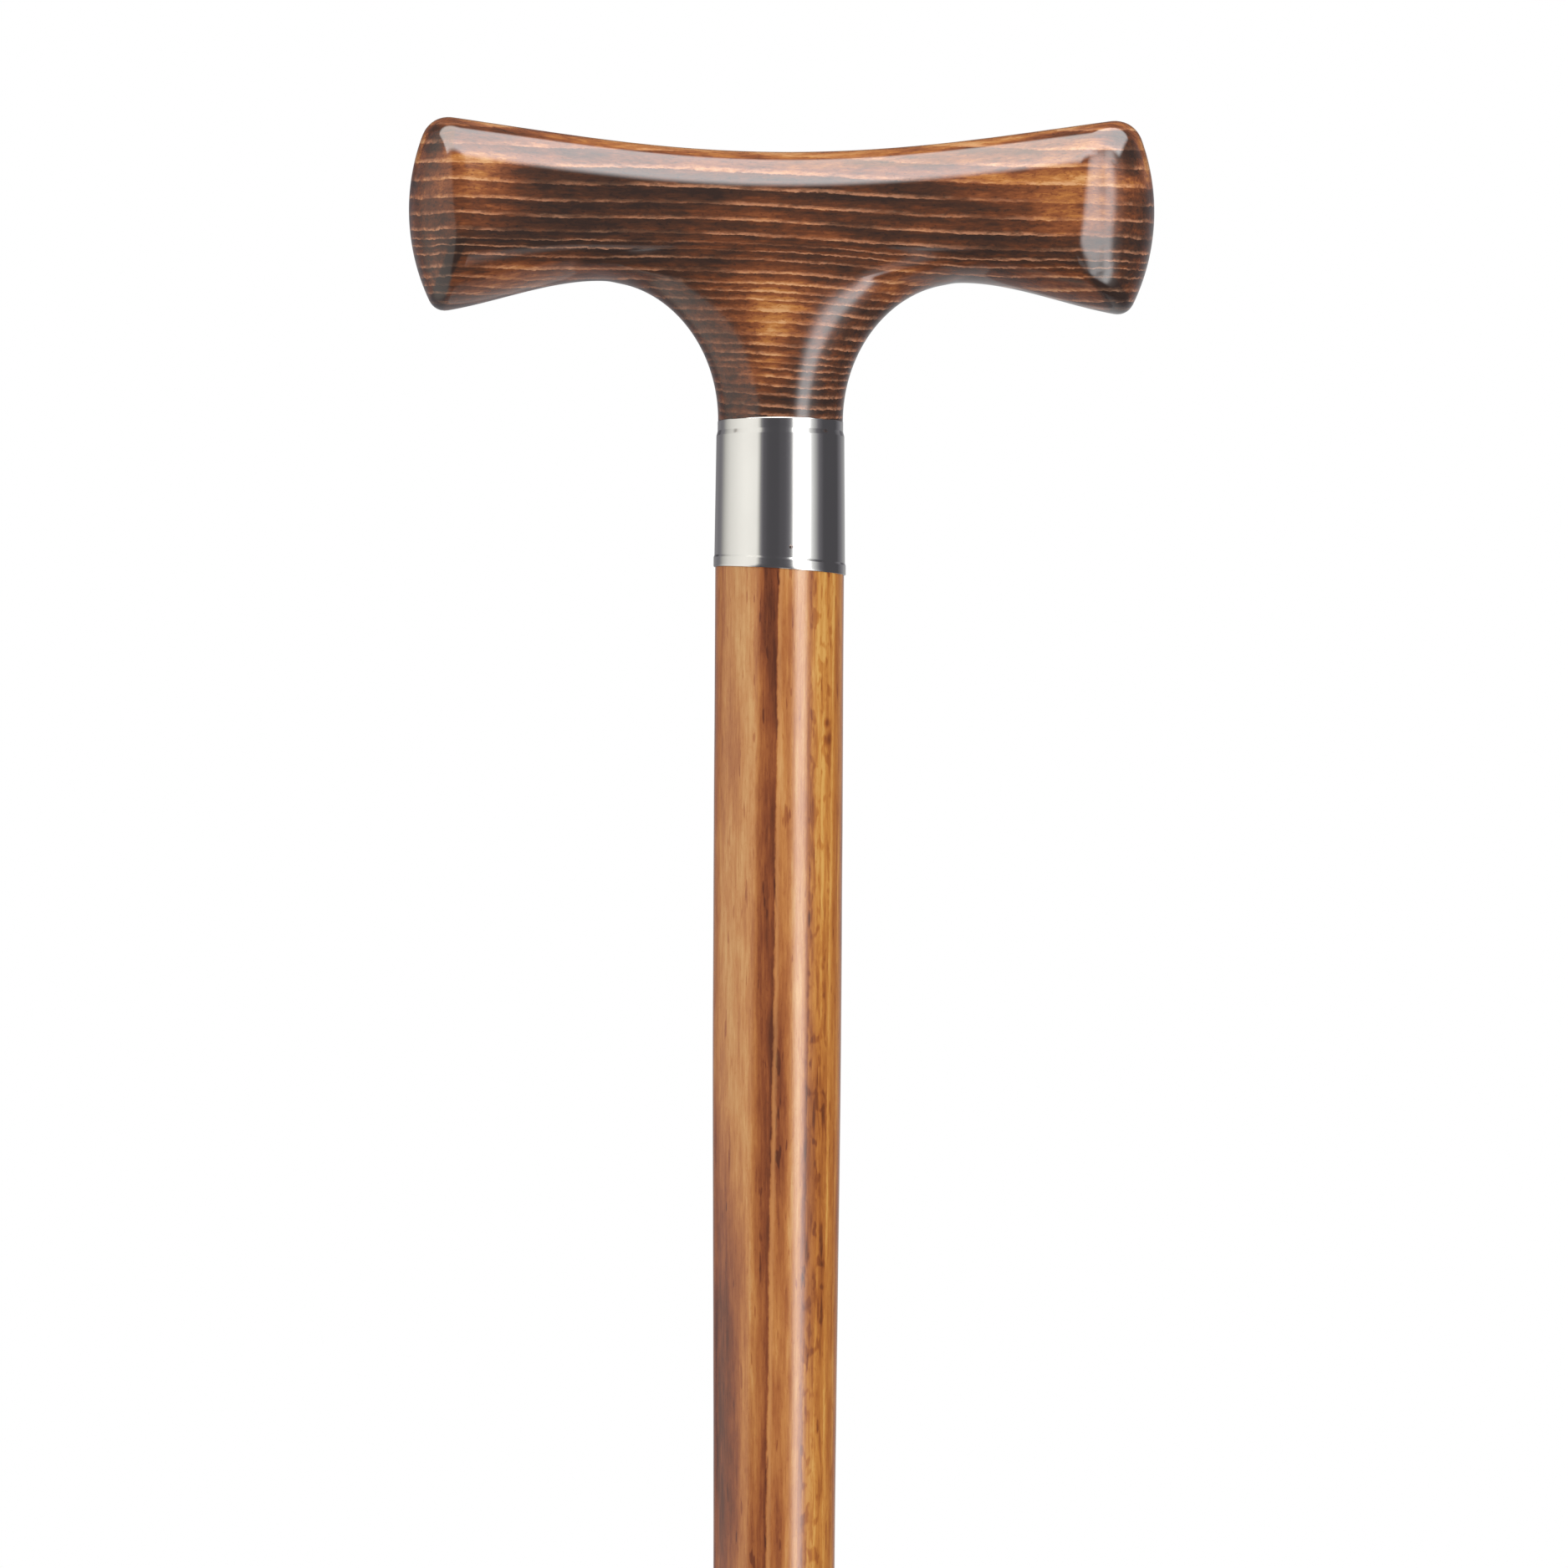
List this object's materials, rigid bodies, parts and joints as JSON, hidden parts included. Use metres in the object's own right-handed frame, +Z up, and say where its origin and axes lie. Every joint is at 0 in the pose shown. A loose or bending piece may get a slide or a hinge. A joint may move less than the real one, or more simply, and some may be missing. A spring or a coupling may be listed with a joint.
{
  "type": "t-handle walking cane",
  "caption": "Wooden walking cane: a T handle with flared, domed arms on a tapering shaft, a polished collar over the joint and a rubber ferrule.",
  "frame": {"origin": "centre of the ferrule's sole, on the floor", "axes": "+Z up the shaft to the handle, X along the arms of the handle, -Y towards the viewer of the picture"},
  "size_m": [0.12, 0.0344, 0.9199],
  "materials": {
    "handle_wood": "scorched hardwood under clear gloss lacquer",
    "shaft_wood": "scorched hardwood under clear gloss lacquer",
    "collar_chrome": "polished plated metal",
    "brad_steel": "plain steel",
    "stud_steel": "zinc plated steel",
    "ferrule_rubber": "matt moulded rubber",
    "washer_steel": "plain steel"
  },
  "bodies": {
    "cane": {"handle": "handle_wood", "handle_stud": "stud_steel", "collar": "collar_chrome", "collar_brad": "brad_steel", "shaft": "shaft_wood"},
    "tip": {"ferrule": "ferrule_rubber", "ferrule_washer": "washer_steel"}
  },
  "joints": [
    {"name": "ferrule_pull", "type": "slide", "parent": "cane", "child": "tip", "axis": [0, 0, -1], "range_m": [0, 0.04]}
  ]
}
